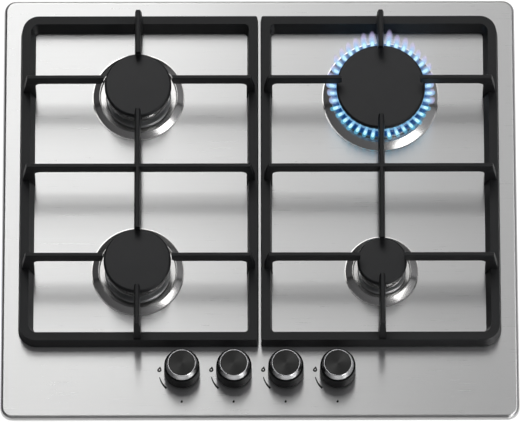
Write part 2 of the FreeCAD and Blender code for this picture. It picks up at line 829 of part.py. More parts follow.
def clamp_screw_places(x):
    return [(x, rail_z + side * clamp_screw_offset) for side in (-1, 1)]


def rail_hole(x):
    length = 2 * (clamp_half_width + reach)
    return Part.makeCylinder(rail_radius + running_gap, length, V(x - length / 2, rail_y, rail_z), V(1, 0, 0))


def gas_tap(x, y):
    """Tap body with a neck for the spindle, a saddle on the rail and an outlet."""
    rear = y + tap_half_depth
    block = box(x - tap_half_width, x + tap_half_width, y - tap_half_depth, rear, tap_bottom_z, tap_top_z)
    block = block.makeChamfer(2.0, [e for e in block.Edges if abs(e.Vertexes[0].Z - e.Vertexes[1].Z) > 1])
    nose = box(x - clamp_half_width, x + clamp_half_width, rear - 1, rail_y,
               rail_z - clamp_height, rail_z + clamp_height)
    outlet = cylinder_y(x, rear - 1, rear + 8.5, pipe_z, outlet_radius)
    neck_tube = cylinder(x, y, tap_top_z - 1, neck_top_z, neck_radius)
    cuts = [cylinder(x, y, tap_bottom_z + tap_bore_floor, neck_top_z + 1, spindle_radius + running_gap),
            rail_hole(x)]
    cuts += [cylinder_y(sx, rail_y - clamp_screw_grip - free_gap, rail_y + 1, sz,
                        clamp_screw_radius + running_gap) for sx, sz in clamp_screw_places(x)]
    return fused([block, nose, outlet, neck_tube]).cut(cuts)


def rail_clamp(x):
    """Half saddle that pulls the tap onto the rail."""
    clamp = box(x - clamp_half_width, x + clamp_half_width, rail_y, rail_y + clamp_depth,
                rail_z - clamp_height, rail_z + clamp_height)
    bores = [cylinder_y(sx, rail_y - 1, rail_y + clamp_depth + 1, sz, clamp_screw_radius + running_gap)
             for sx, sz in clamp_screw_places(x)]
    return clamp.cut([rail_hole(x)] + bores)


def clamp_screws(x):
    screws = []
    for sx, sz in clamp_screw_places(x):
        head_y = rail_y + clamp_depth
        shank = cylinder_y(sx, rail_y - clamp_screw_grip, head_y, sz, clamp_screw_radius)
        head = cylinder_y(sx, head_y, head_y + clamp_screw_head, sz, clamp_screw_head_radius)
        recess = cylinder_y(sx, head_y + clamp_screw_head / 2, head_y + 2 * clamp_screw_head, sz,
                            clamp_screw_head_radius / 2)
        screws.append(shank.fuse(head).cut(recess))
    return screws


def gas_rail():
    """Tube across the front under the taps, then back along the right side."""
    left = -1.5 * knob_pitch - rail_overhang
    points = [V(left, rail_y, rail_z), V(inlet_x, rail_y, rail_z),
              V(inlet_x, inlet_y - inlet_body_radius, rail_z)]
    return bent_rod(points, pipe_bend, rail_radius)


def burner_pipe(place):
    """Feed pipe from one tap to its burner cup."""
    tap_x, tap_y = KNOBS[place]
    x, y, size = BURNERS[place]
    start_y = tap_y + tap_half_depth + 8.5
    end_y = y - cup_radius(size) - inlet_boss_length
    turn_y = end_y - (45 if y > 0 else 26)
    points = [V(tap_x, start_y, pipe_z), V(tap_x, turn_y, pipe_z), V(x, turn_y + 15, pipe_z),
              V(x, end_y, pipe_z)]
    return bent_rod(points, min(pipe_bend, 0.4 * (turn_y - start_y)), pipe_radius)


def gas_inlet():
    """Elbow: thread and lock nut in the recess, body on the recess's roof."""
    roof = recess_height + tray_sheet
    thread_low = recess_height - inlet_hex_height - inlet_thread_length
    thread = cylinder(inlet_x, inlet_y, thread_low, roof, inlet_thread_radius)
    nut = hexagon(inlet_x, inlet_y, recess_height - inlet_hex_height, recess_height, inlet_hex)
    body = cylinder(inlet_x, inlet_y, roof, rail_z + rail_radius + 3, inlet_body_radius)
    flat = box(inlet_x - rail_radius - 2, inlet_x + rail_radius + 2, inlet_y - inlet_body_radius, inlet_y,
               rail_z - rail_radius - 2, rail_z + rail_radius + 2)
    bore = cylinder(inlet_x, inlet_y, thread_low - 1, rail_z, inlet_thread_radius - 3.2)
    return fused([thread, nut, body, flat]).cut(bore)


# ---------------------------------------------------------------- electrical pieces
def ignition_switches():
    """Strip of push contacts that lies on the tap necks."""
    half = 1.5 * knob_pitch + switch_strip_width
    strip = box(-half, half, knob_row_y - switch_strip_width / 2, knob_row_y + switch_strip_width / 2,
                neck_top_z, strip_top_z)
    holes = [cylinder(x, y, neck_top_z - 1, strip_top_z + 1, spindle_radius + 0.6) for x, y in KNOBS.values()]
    return strip.cut(holes)


def spark_generator():
    """Small box with four high-voltage outlets on its side."""
    x1 = inlet_x - generator_side_gap
    x0 = x1 - generator_width
    y1 = recess_y - generator_distance
    y0 = y1 - generator_length
    case = box(x0, x1, y0, y1, tray_sheet, tray_sheet + generator_height)
    case = case.makeFillet(2.0, [e for e in case.Edges if abs(e.Vertexes[0].Z - e.Vertexes[1].Z) > 1])
    first_y = (y0 + y1) / 2 - 1.5 * outlet_stub_pitch
    outlets = [Part.makeCylinder(outlet_stub_radius, outlet_stub_length,
                                 V(x0 - outlet_stub_length + 1, first_y + outlet_stub_pitch * k,
                                   tray_sheet + generator_height / 2), V(1, 0, 0))
               for k in range(len(BURNERS))]
    return fused([case] + outlets)


def terminal_block():
    """Mains terminal block on the tray's floor beside the recess."""
    half = 1.5 * terminal_pitch + terminal_wall / 2
    x1 = recess_x - tray_sheet - terminal_gap
    x0 = x1 - terminal_length
    top = tray_sheet + terminal_height
    way_floor = top - 0.4 * terminal_height
    block = box(x0, x1, gland_y - half, gland_y + half, tray_sheet, top)
    cuts = []
    for k in range(3):
        y = gland_y + (k - 1) * terminal_pitch
        cuts.append(box(x0 - 1, x1 + 1, y - terminal_way / 2, y + terminal_way / 2, way_floor, top + 1))
        cuts.append(cylinder((x0 + x1) / 2, y, tray_sheet + terminal_wall, way_floor + 1, terminal_way * 0.3))
    return block.cut(cuts)


def cord_bush():
    """Grommet in the recess's wall, for the mains cord."""
    z = recess_height / 2
    tube = Part.makeCylinder(gland_radius - running_gap, gland_length + tray_sheet + 2,
                             V(recess_x - tray_sheet - 2, gland_y, z), V(1, 0, 0))
    collar = Part.makeCylinder(gland_radius + 2, 2.5, V(recess_x, gland_y, z), V(1, 0, 0))
    bore = Part.makeCylinder(gland_bore, gland_length + 20, V(recess_x - 10, gland_y, z), V(1, 0, 0))
    return tube.fuse(collar).cut(bore)


# ---------------------------------------------------------------- write every node
def main():
    os.makedirs("parts", exist_ok=True)
    save("top_panel", top_panel())
    save("base_tray", base_tray())
    save("rim_seal", rim_seal())
    save("tray_brackets", tray_brackets())
    save("worktop_clips", worktop_clips())
    save("tray_screws", tray_screws())
    for place, (x, y, size) in BURNERS.items():
        save("burner_cap_" + place, burner_cap(x, y, size))
        save("flame_spreader_" + place, flame_spreader(x, y, size))
        save("burner_collar_" + place, burner_collar(x, y, size))
        save("burner_cup_" + place, burner_cup(x, y, size))
    save("gas_jets", [gas_jet(x, y) for x, y, size in BURNERS.values()])
    save("spark_insulators", [spark_insulator(*burner) for burner in BURNERS.values()])
    save("spark_pins", [spark_pin(*burner) for burner in BURNERS.values()])
    save("thermocouples", [thermocouple(*burner) for burner in BURNERS.values()])
    save("pan_support_left", pan_support(-1, MIDDLE, MIDDLE))
    save("pan_support_right", pan_support(1, SMALL, LARGE))
    save("pan_support_feet_left", pan_support_feet(-1))
    save("pan_support_feet_right", pan_support_feet(1))
    for place, (x, y) in KNOBS.items():
        turn = KNOB_TURN.get(place, 0.0)
        save("knob_" + place, knob(x, y, turn))
        save("knob_ring_" + place, knob_ring(x, y, turn))
        save("knob_insert_" + place, knob_insert(x, y, turn))
        save("tap_spindle_" + place, tap_spindle(x, y, turn))
        save("thrust_ring_" + place, thrust_ring(x, y))
    save("gas_taps", [gas_tap(x, y) for x, y in KNOBS.values()])
    save("rail_clamps", [rail_clamp(x) for x, y in KNOBS.values()])
    save("clamp_screws", [screw for x, y in KNOBS.values() for screw in clamp_screws(x)])
    save("gas_rail", gas_rail())
    save("burner_pipes", [burner_pipe(place) for place in BURNERS])
    save("gas_inlet", gas_inlet())
    save("ignition_switches", ignition_switches())
    save("spark_generator", spark_generator())
    save("terminal_block", terminal_block())
    save("cord_bush", cord_bush())


main()
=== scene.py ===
import json
import math

import bpy
import numpy as np
from mathutils import Matrix, Vector


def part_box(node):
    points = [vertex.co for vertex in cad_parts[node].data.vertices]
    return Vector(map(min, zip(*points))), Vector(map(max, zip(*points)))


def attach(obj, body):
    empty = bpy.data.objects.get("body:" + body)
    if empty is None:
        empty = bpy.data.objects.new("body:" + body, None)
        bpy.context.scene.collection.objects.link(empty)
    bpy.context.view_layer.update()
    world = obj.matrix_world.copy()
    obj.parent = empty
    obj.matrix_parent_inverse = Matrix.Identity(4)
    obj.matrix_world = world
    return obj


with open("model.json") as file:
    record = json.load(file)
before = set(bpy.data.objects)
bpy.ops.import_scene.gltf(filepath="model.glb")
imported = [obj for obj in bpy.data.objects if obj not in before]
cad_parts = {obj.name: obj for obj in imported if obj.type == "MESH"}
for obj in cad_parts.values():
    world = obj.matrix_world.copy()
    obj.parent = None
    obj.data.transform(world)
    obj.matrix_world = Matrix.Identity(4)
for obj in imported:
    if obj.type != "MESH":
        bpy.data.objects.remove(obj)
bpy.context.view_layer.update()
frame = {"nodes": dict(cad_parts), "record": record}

# Looks of a built-in gas cooktop. Metres, +Z up, the knobs towards -Y, as in the CAD frame.
MM = 0.001
PLACES = ("front_left", "rear_left", "rear_right", "front_right")
LIT = "rear_right"
panel_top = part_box("top_panel")[1][2]


def middle(node_name):
    """Centre of a CAD node's box from above: half the sum of its lowest and highest x and y."""
    low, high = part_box(node_name)
    return (low[0] + high[0]) / 2, (low[1] + high[1]) / 2


# ---------------------------------------------------------------- colours and nodes
def colour(code):
    """Linear RGBA of an sRGB hex code: c / 12.92 where dark, else ((c + 0.055) / 1.055)^2.4."""
    parts = np.array([int(code[k:k + 2], 16) for k in (1, 3, 5)]) / 255
    linear = np.where(parts <= 0.04045, parts / 12.92, ((parts + 0.055) / 1.055) ** 2.4)
    return (*linear.tolist(), 1.0)


def add(tree, kind, inputs=None, **settings):
    """Adds one node with its settings; an input is a value or the socket that feeds it."""
    made = tree.nodes.new(kind)
    for name, value in settings.items():
        setattr(made, name, value)
    for name, value in (inputs or {}).items():
        if isinstance(value, bpy.types.NodeSocket):
            tree.links.new(value, made.inputs[name])
        else:
            made.inputs[name].default_value = value
    return made


def new_material(name):
    """Empty material with its output node; returns (material, tree, output)."""
    material = bpy.data.materials.new(name)
    material.use_nodes = True
    tree = material.node_tree
    tree.nodes.clear()
    return material, tree, add(tree, "ShaderNodeOutputMaterial")


# ---------------------------------------------------------------- patterns
# Noise runs from 0 to 1, but most of it lies between these two values
PATTERN_LOW, PATTERN_HIGH = 0.3, 0.7


def place(tree, size_mm, centre=(0, 0, 0)):
    """Object coordinates about a centre, divided by a pattern's size along each axis in mm."""
    at = add(tree, "ShaderNodeTexCoord").outputs["Object"]
    scale = [1 / (size * MM) for size in size_mm]
    shift = [-c * s for c, s in zip(centre, scale)]
    mapping = add(tree, "ShaderNodeMapping", {"Vector": at, "Scale": scale, "Location": shift})
    return mapping.outputs["Vector"]


def cloudy(tree, size_mm, detail=3.0, rough=0.5):
    """Cloudy pattern whose features have the given size along each axis in mm."""
    clouds = add(tree, "ShaderNodeTexNoise", {
        "Vector": place(tree, size_mm), "Scale": 1.0, "Detail": detail, "Roughness": rough})
    return clouds.outputs["Fac"]


def from_axis(tree, centre):
    """Level vector in metres from the vertical through a centre; its z is shrunk to nothing."""
    metre_mm, shrunk_mm = 1000, 1e6
    return place(tree, (metre_mm, metre_mm, shrunk_mm), (centre[0], centre[1], 0))


def axis_distance(tree, centre):
    """Distance in metres from the vertical through a centre."""
    length = add(tree, "ShaderNodeVectorMath", {0: from_axis(tree, centre)}, operation="LENGTH")
    return length.outputs["Value"]


def ring_lines(tree, centre, spacing_mm):
    """Turning marks: noise that depends only on the distance from a centre."""
    steps = add(tree, "ShaderNodeMath", {
        0: axis_distance(tree, centre), 1: 1 / (spacing_mm * MM)}, operation="MULTIPLY")
    rings = add(tree, "ShaderNodeTexNoise", {"W": steps.outputs[0], "Scale": 1.0, "Detail": 2.0},
                noise_dimensions="1D")
    return rings.outputs["Fac"]


# ---------------------------------------------------------------- finishes
def finish_surface(tree, output, dark, light, shade, roughness, share, texture, inputs):
    """Solid surface whose colour goes from dark to light with the shade pattern.

    Its roughness goes from (1 - share) to (1 + share) times its value with the texture pattern.
    """
    hue = add(tree, "ShaderNodeValToRGB", {"Fac": shade})
    ends = ((PATTERN_LOW, dark), (PATTERN_HIGH, light))
    for element, (position, code) in zip(hue.color_ramp.elements, ends):
        element.position = position
        element.color = colour(code)
    rough = add(tree, "ShaderNodeMapRange", {
        "Value": texture, "From Min": PATTERN_LOW, "From Max": PATTERN_HIGH,
        "To Min": roughness * (1 - share), "To Max": roughness * (1 + share)})
    shader = add(tree, "ShaderNodeBsdfPrincipled", {
        "Base Color": hue.outputs["Color"], "Roughness": rough.outputs["Result"], **inputs})
    tree.links.new(shader.outputs[0], output.inputs["Surface"])


def brushed_metal(name, dark, light, roughness, line_mm, along, anisotropy):
    """Sheet ground with a belt: straight lines, and reflections drawn out from front to rear.

    The lines are noise stretched to 90 mm along one axis. Real ones lie about 0.1 mm apart, too
    fine to show, so they are drawn about line_mm apart. Faint clouds lie over them.
    """
    line_length_mm, cloud_mm, relief_mm = 90, (160, 120, 60), 0.0003
    material, tree, output = new_material(name)
    lines = cloudy(tree, [line_length_mm if a else line_mm for a in along], 4.0, 0.65)
    clouds = cloudy(tree, cloud_mm, 2.0)
    both = add(tree, "ShaderNodeMath", {0: lines, 1: clouds}, operation="ADD")
    mean = add(tree, "ShaderNodeMath", {0: both.outputs[0], 1: 0.5}, operation="MULTIPLY")
    front_to_rear = add(tree, "ShaderNodeCombineXYZ", {"Y": 1.0})
    relief = add(tree, "ShaderNodeBump", {"Height": lines, "Distance": relief_mm * MM})
    finish_surface(tree, output, dark, light, mean.outputs[0], roughness, 0.025, lines, {
        "Metallic": 1.0, "Anisotropic": anisotropy, "Tangent": front_to_rear.outputs[0],
        "Normal": relief.outputs[0]})
    return material


def cast_surface(name, dark, light, roughness, grain_mm, relief_mm, metallic=0.0, specular=0.5,
                 coat=0.0):
    """Grainy surface, as cast, moulded or enamelled: a little relief, and clouds of colour."""
    clouds_per_grain = 25
    material, tree, output = new_material(name)
    grain = cloudy(tree, (grain_mm,) * 3, 3.0, 0.6)
    clouds = cloudy(tree, (grain_mm * clouds_per_grain,) * 3, 2.0)
    relief = add(tree, "ShaderNodeBump", {"Height": grain, "Distance": relief_mm * MM})
    finish_surface(tree, output, dark, light, clouds, roughness, 0.1, grain, {
        "Metallic": metallic, "Specular IOR Level": specular, "Coat Weight": coat,
        "Coat Roughness": 0.1, "Normal": relief.outputs[0]})
    return material


def polished_metal(name, dark, light, roughness):
    """Plated and polished metal: a mirror that faint clouds dull here and there."""
    cloud_mm = 14
    material, tree, output = new_material(name)
    clouds = cloudy(tree, (cloud_mm,) * 3)
    finish_surface(tree, output, dark, light, clouds, roughness, 0.2, clouds, {"Metallic": 1.0})
    return material


def spun_metal(name, dark, light, roughness, centre, brim_radius):
    """Ring spun and polished on a lathe, with faint turning marks.

    Beyond brim_radius its normal is one part up and 0.07 part outwards, as on a brim that falls
    by 4 degrees. Real turning marks lie about 0.1 mm apart and are drawn coarser, so they show.
    """
    mark_mm, relief_mm, brim_fall = 0.7, 0.0015, 0.07
    material, tree, output = new_material(name)
    rings = ring_lines(tree, centre, mark_mm)
    marked = add(tree, "ShaderNodeBump", {"Height": rings, "Distance": relief_mm * MM})
    on_brim = add(tree, "ShaderNodeMath", {0: axis_distance(tree, centre), 1: brim_radius},
                  operation="GREATER_THAN")
    outwards = add(tree, "ShaderNodeVectorMath", {0: from_axis(tree, centre)},
                   operation="NORMALIZE")
    brim = add(tree, "ShaderNodeVectorMath", {
        0: outwards.outputs[0], 1: (brim_fall, brim_fall, 0), 2: (0, 0, 1)},
        operation="MULTIPLY_ADD")
    normal = add(tree, "ShaderNodeMix", {
        0: on_brim.outputs[0], 4: marked.outputs[0], 5: brim.outputs[0]}, data_type="VECTOR")
    finish_surface(tree, output, dark, light, rings, roughness, 0.1, rings, {
        "Metallic": 1.0, "Normal": normal.outputs[1]})
    return material


def turned_metal(name, dark, light, roughness, centre):
    """Disc face-turned on a lathe: rings that draw reflections into a fan across it.

    Real rings lie about 0.1 mm apart and are drawn coarser, so they show.
    """
    mark_mm, relief_mm, anisotropy = 0.5, 0.002, 0.7
    material, tree, output = new_material(name)
    rings = ring_lines(tree, centre, mark_mm)
    relief = add(tree, "ShaderNodeBump", {"Height": rings, "Distance": relief_mm * MM})
    round_axis = add(tree, "ShaderNodeTangent", direction_type="RADIAL", axis="Z")
    finish_surface(tree, output, dark, light, rings, roughness, 0.1, rings, {
        "Metallic": 1.0, "Anisotropic": anisotropy, "Tangent": round_axis.outputs[0],
        "Normal": relief.outputs[0]})
    return material


def flame_glow(name, strength, stops):
    """Burning gas: light alone. Each stop is (place from root 0 to tip 1, colour, density)."""
    material, tree, output = new_material(name)
    drawn = add(tree, "ShaderNodeUVMap", uv_map="along")
    along = add(tree, "ShaderNodeSeparateXYZ", {0: drawn.outputs[0]}).outputs["Y"]
    hue = add(tree, "ShaderNodeValToRGB", {"Fac": along})
    density = add(tree, "ShaderNodeValToRGB", {"Fac": along})
    places, codes, densities = zip(*stops)
    for node, shades in ((hue, [colour(code) for code in codes]),
                         (density, [(grey, grey, grey, 1.0) for grey in densities])):
        elements = node.color_ramp.elements
        while len(elements) < len(stops):
            elements.new(0.5)
        for element, position, shade in zip(elements, places, shades):
            element.position = position
            element.color = shade
    glow = add(tree, "ShaderNodeEmission", {"Color": hue.outputs["Color"], "Strength": strength})
    clear = add(tree, "ShaderNodeBsdfTransparent")
    mixed = add(tree, "ShaderNodeMixShader", {
        0: density.outputs["Color"], 1: clear.outputs[0], 2: glow.outputs[0]})
    tree.links.new(mixed.outputs[0], output.inputs["Surface"])
    return material


# Stainless steel sheet, belt-brushed: neutral silver with fine lines from side to side, and soft
# light that runs from front to rear
brushed_panel = brushed_metal("brushed_stainless", "#E2E2E1", "#E7E7E6", 0.28, line_mm=1.1,
                              along=(1, 0, 0), anisotropy=1.0)
# Spring steel strip, drawn bright: darker than the panel, with lines that run upright
spring_strip = brushed_metal("spring_strip", "#8E9092", "#9C9EA0", 0.3, line_mm=0.8,
                             along=(0, 0, 1), anisotropy=0.9)

# In each cast_surface line the three numbers are its roughness, its grain and its relief in mm.

# Zinc-coated steel sheet: cool matt grey with a faint spangle
zinc_sheet = cast_surface("zinc_coated_sheet", "#A3A6A8", "#B4B7B9", 0.45, 9.0, 0.01, metallic=1.0)
# Steel screws, zinc-plated: small bright grey heads
zinc_screw = cast_surface("zinc_plated_screw", "#B9BBBC", "#C8C9CA", 0.3, 1.0, 0.01, metallic=1.0)
# Closed-cell foam cut in strips: dull dark grey, full of fine pores
foam_strip = cast_surface("closed_cell_foam", "#2E2E2F", "#3B3B3C", 0.9, 0.8, 0.15)
# Cast iron under matt black enamel: near black with a soft sheen, its sandy grain shows through
iron_enamel = cast_surface("matt_enamel_on_iron", "#121315", "#18191B", 0.5, 0.9, 0.05,
                           specular=0.45)
# Pressed steel under matt black enamel: smoother than the iron, with a wide soft highlight
cap_enamel = cast_surface("matt_enamel_on_steel", "#131416", "#17181A", 0.42, 0.5, 0.012)
# Silicone rubber, moulded: dull black, almost without a highlight
silicone_foot = cast_surface("silicone_rubber", "#1B1B1C", "#242425", 0.7, 0.7, 0.02)
# Rubber, moulded: dull black, a shade lighter
cord_rubber = cast_surface("rubber_grommet", "#202021", "#2A2A2B", 0.65, 0.8, 0.02)
# Cast aluminium turned bright: pale metal that mirrors the studio between its ports
spreader_alloy = cast_surface("turned_aluminium", "#CBCCCC", "#D6D7D6", 0.15, 0.7, 0.003,
                              metallic=1.0)
# Die-cast aluminium, left as cast: satin light grey
cup_alloy = cast_surface("die_cast_alloy", "#B4B6B7", "#C2C3C4", 0.38, 0.8, 0.015, metallic=1.0)
# Hot-pressed aluminium: satin light grey with a coarser grain
tap_alloy = cast_surface("pressed_alloy", "#BABCBD", "#C6C7C8", 0.36, 1.2, 0.01, metallic=1.0)
# Drawn aluminium pipe: pale and smooth, with long highlights
pipe_alloy = cast_surface("drawn_aluminium", "#C5C7C9", "#D0D2D3", 0.28, 2.5, 0.004, metallic=1.0)
# Steel tube, zinc-coated: grey and half bright
rail_steel = cast_surface("zinc_coated_tube", "#A7A9AB", "#B6B8B9", 0.35, 4.0, 0.006, metallic=1.0)
# Machined brass: warm yellow with crisp highlights
machined_brass = cast_surface("machined_brass", "#C9A668", "#D6B578", 0.25, 0.8, 0.004,
                              metallic=1.0)
# Bare ground steel: small sharp highlights on pins and spindles
bright_steel = cast_surface("bright_steel", "#B0B1B2", "#BEBFC0", 0.25, 0.6, 0.004, metallic=1.0)
# Glazed ceramic: off-white with a wet gloss
glazed_ceramic = cast_surface("glazed_ceramic", "#EDEBE4", "#F3F1EB", 0.2, 1.5, 0.004, coat=0.6)
# Bakelite, moulded: deep black with a broad faint sheen
knob_moulding = cast_surface("bakelite_moulding", "#0B0C0D", "#101112", 0.5, 0.35, 0.006,
                             specular=0.15)
# Chrome plating, satin-polished: the brightest ring on each knob, a slightly blurred mirror
bright_chrome = polished_metal("bright_chrome", "#EDEDEE", "#F4F4F5", 0.27)
# Nylon, moulded: milky white and half matt
white_moulding = cast_surface("white_nylon", "#DAD9D2", "#E2E1DB", 0.45, 0.6, 0.01)
# Polyamide, moulded: warm pale grey and matt
box_moulding = cast_surface("polyamide_box", "#CFCEC7", "#D8D7D0", 0.5, 0.6, 0.012)
# Ink screen-printed on steel: matt dark grey, slightly uneven
ink = cast_surface("printed_ink", "#18191A", "#222324", 0.6, 0.4, 0.002, specular=0.3)

BY_SLOT = {
    "brushed_panel": brushed_panel, "tray_sheet": zinc_sheet, "spring_steel": spring_strip,
    "fastener_steel": zinc_screw, "seal_foam": foam_strip, "grate_iron": iron_enamel,
    "foot_rubber": silicone_foot, "cap_enamel": cap_enamel, "cast_aluminium": spreader_alloy,
    "cup_alloy": cup_alloy, "brass": machined_brass, "ceramic": glazed_ceramic,
    "steel_pin": bright_steel, "knob_black": knob_moulding, "knob_chrome": bright_chrome,
    "spindle_steel": bright_steel, "tap_alloy": tap_alloy, "pipe_alloy": pipe_alloy,
    "rail_steel": rail_steel, "switch_white": white_moulding, "box_plastic": box_moulding,
    "bush_rubber": cord_rubber,
}
BRIM_WIDTH = 1.3 * MM
for part in frame["record"]["subparts"]:
    node, slot = part["node"], part["material_slot"]
    if slot == "polished_collar":
        # Stainless steel, spun and polished: a bright ring whose brim mirrors the light above it
        low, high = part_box(node)
        brim_radius = (high[0] - low[0]) / 2 - BRIM_WIDTH
        finish = spun_metal("spun_" + node, "#D2D1CF", "#DBDAD8", 0.2, middle(node), brim_radius)
    elif slot == "knob_top":
        # Aluminium, face-turned and anodised dark: a grey fan of light that crosses the disc
        finish = turned_metal("turned_" + node, "#3A3A3A", "#434342", 0.4, middle(node))
    else:
        finish = BY_SLOT[slot]
    materials = frame["nodes"][node].data.materials
    materials.clear()
    materials.append(finish)


# ---------------------------------------------------------------- surfaces on grids
def surface(name, points, material, body, closed=False, along=None):
    """Mesh of a grid of points (rows, columns, xyz), or of many such grids stacked in front.

    Each cell of a grid is one face. With closed, the last column joins the first. along gives each
    row its place from 0 to 1, kept in a UV map.
    """
    grids = points.reshape((-1,) + points.shape[-3:])
    count, rows, columns = grids.shape[:3]
    index = np.arange(count * rows * columns).reshape(count, rows, columns)
    beside = np.roll(index, -1, axis=2)
    last = columns if closed else columns - 1
    faces = np.stack([index[:, :-1, :last], beside[:, :-1, :last], beside[:, 1:, :last],
                      index[:, 1:, :last]], axis=-1).reshape(-1, 4)
    mesh = bpy.data.meshes.new(name)
    mesh.from_pydata(grids.reshape(-1, 3).tolist(), [], faces.tolist())
    if along is not None:
        rows_of = np.broadcast_to(along[None, :, None], (count, rows, columns)).reshape(-1)
        layer = mesh.uv_layers.new(name="along")
        corners = np.empty(len(mesh.loops), dtype=np.int32)
        mesh.loops.foreach_get("vertex_index", corners)
        pairs = np.stack([np.full(len(corners), 0.5), rows_of[corners]], axis=1)
        layer.data.foreach_set("uv", pairs.ravel())
    mesh.polygons.foreach_set("use_smooth", np.ones(len(faces), dtype=bool))
    mesh.materials.append(material)
    made = bpy.data.objects.new(name, mesh)
    bpy.context.scene.collection.objects.link(made)
    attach(made, body)


# ---------------------------------------------------------------- signs on the panel
INK_LIFT = 0.05 * MM
FLAME_SIGN = {"x": -25.9 * MM, "y": 0.1 * MM, "height": 6.8 * MM, "line": 1.7 * MM}
POSITION_MARK = {"x": -0.4 * MM, "y": -36.8 * MM, "height": 3.6 * MM, "line": 1.6 * MM}
TURN_ARC = {"radius": 26.2 * MM, "start": 193, "end": 228, "widest": 2.4 * MM}


def printed(name, first_edge, second_edge):
    """Flat print on the panel, straight across from one edge, an array of (x, y), to the other.

    At a share s of the way across, a point is first (1 - s) + second s.
    """
    share = np.linspace(0, 1, 3)[None, :, None]
    flat = first_edge[:, None, :] * (1 - share) + second_edge[:, None, :] * share
    height = np.full(flat.shape[:2] + (1,), panel_top + INK_LIFT)
    points = np.concatenate([flat, height], axis=-1)
    surface(name, points[::-1], ink, "base")


def flame_sign(knob_x, knob_y, x, y, height, line):
    """Both edges of an outlined flame whose foot lies x, y from the knob's axis.

    With t from 0 at the foot to 1 at the tip, the outer edge is 0.36 height sin(pi t^0.62) to each
    side of a line that leans by 0.16 height t^2. The inner edge is the outer one drawn towards a
    point at 0.4 of the height, as far as the width of the line asks.
    """
    turn = np.linspace(0, 2 * np.pi, 41)
    t = (1 - np.cos(turn)) / 2
    foot = np.array([knob_x + x, knob_y + y])
    lean = 0.16 * height * t ** 2
    half = 0.36 * height * np.sin(np.pi * t ** 0.62) * np.sign(np.sin(turn) + 1e-9)
    outer = np.stack([foot[0] + lean + half, foot[1] + height * t], axis=1)
    heart = np.array([foot[0] + 0.03 * height, foot[1] + 0.4 * height])
    inner = heart + (outer - heart) * max(0.0, 1 - 2.8 * line / height)
    return outer, inner


def arc_sign(knob_x, knob_y, radius, start, end, widest):
    """Both edges of an arc about the knob, from one angle in degrees to another.

    Its width grows evenly along the turn, from 0.4 of the widest to the widest.
    """
    angle = np.radians(np.linspace(start, end, 24))
    half = (widest / 2 * np.linspace(0.4, 1, 24))[:, None]
    direction = np.stack([np.cos(angle), np.sin(angle)], axis=1)
    centre = np.array([knob_x, knob_y])
    return centre + direction * (radius + half), centre + direction * (radius - half)


for knob_place in PLACES:
    knob_at = middle("knob_" + knob_place)
    printed("flame_sign_" + knob_place, *flame_sign(*knob_at, **FLAME_SIGN))
    printed("turn_arc_" + knob_place, *arc_sign(*knob_at, **TURN_ARC))
    printed("position_mark_" + knob_place, *flame_sign(*knob_at, **POSITION_MARK))

# ---------------------------------------------------------------- burning gas
PORT_COUNT = 38
PORT_BELOW_TOP = 2.5 * MM
FLAME_SEED = 3
burner_centre = middle("burner_cap_" + LIT)
spread_low, spread_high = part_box("flame_spreader_" + LIT)
port_radius = (spread_high[0] - spread_low[0]) / 2
port_z = spread_high[2] - PORT_BELOW_TOP


def burning(name, points, material, along):
    """Piece of burning gas, a closed form that stays with the lit burner's spreader."""
    surface(name, points, material, "spreader_" + LIT, closed=True, along=along)


def flames(name, material, port_angles, length, rise_front, rise_rear, width):
    """Gas flames: closed drops along a spine that leaves a port outwards and bends up.

    With t from 0 to 1 the spine lies at distance port_radius + length (1 - (1 - t)^2) and height
    port_z + rise t^1.6. Its half width is width sqrt(t') (1 - t)^0.7 with t' = t + 0.12, so it is
    full near the port and thin at the tip, and a first row of no width closes it at the port. The
    draught leans them back, so the rise grows from the front to the rear as
    ((1 + sin angle) / 2)^2. A seeded factor makes flames differ in length by up to 11 %.
    """
    rng = np.random.default_rng(FLAME_SEED)
    t = np.append(0, np.linspace(0, 1, 10))[None, :, None]
    turn = np.linspace(0, 2 * np.pi, 8, endpoint=False)[None, None, :]
    angle = port_angles[:, None, None]
    factor = 1 + 0.22 * (rng.random(len(port_angles))[:, None, None] - 0.5)
    rise = rise_front + (rise_rear - rise_front) * ((1 + np.sin(angle)) / 2) ** 2
    out = port_radius + length * factor * (1 - (1 - t) ** 2)
    up = port_z + rise * factor * t ** 1.6
    half = width * np.sqrt(t + 0.12) * (1 - t) ** 0.7
    half[:, 0] = 0
    side = half * np.cos(turn)
    over = half * 0.9 * np.sin(turn)
    x = (out - over * 0.5) * np.cos(angle) - side * np.sin(angle)
    y = (out - over * 0.5) * np.sin(angle) + side * np.cos(angle)
    z = np.broadcast_to(up + over * 0.8, x.shape)
    points = np.stack([x + burner_centre[0], y + burner_centre[1], z], axis=-1)
    burning(name, points, material, t[0, :, 0])


def root_glow(name, material, depth, height):
    """Ring where the flames join: an oval section turned about the burner.

    With s round the section, a point lies depth / 2 (1 + cos s) outside the ring's foot, which is
    half a millimetre inside the ports, and height / 2 sin s above the ports.
    """
    foot_radius = port_radius - 0.5 * MM
    section = np.linspace(0, 2 * np.pi, 9)[:, None]
    angle = np.linspace(0, 2 * np.pi, 96, endpoint=False)[None, :]
    out = foot_radius + depth / 2 * (1 + np.cos(section))
    up = port_z + height / 2 * np.sin(section) + 0 * angle
    points = np.stack([burner_centre[0] + out * np.cos(angle),
                       burner_centre[1] + out * np.sin(angle), up], axis=-1)
    burning(name, points, material, np.full(9, 0.4))


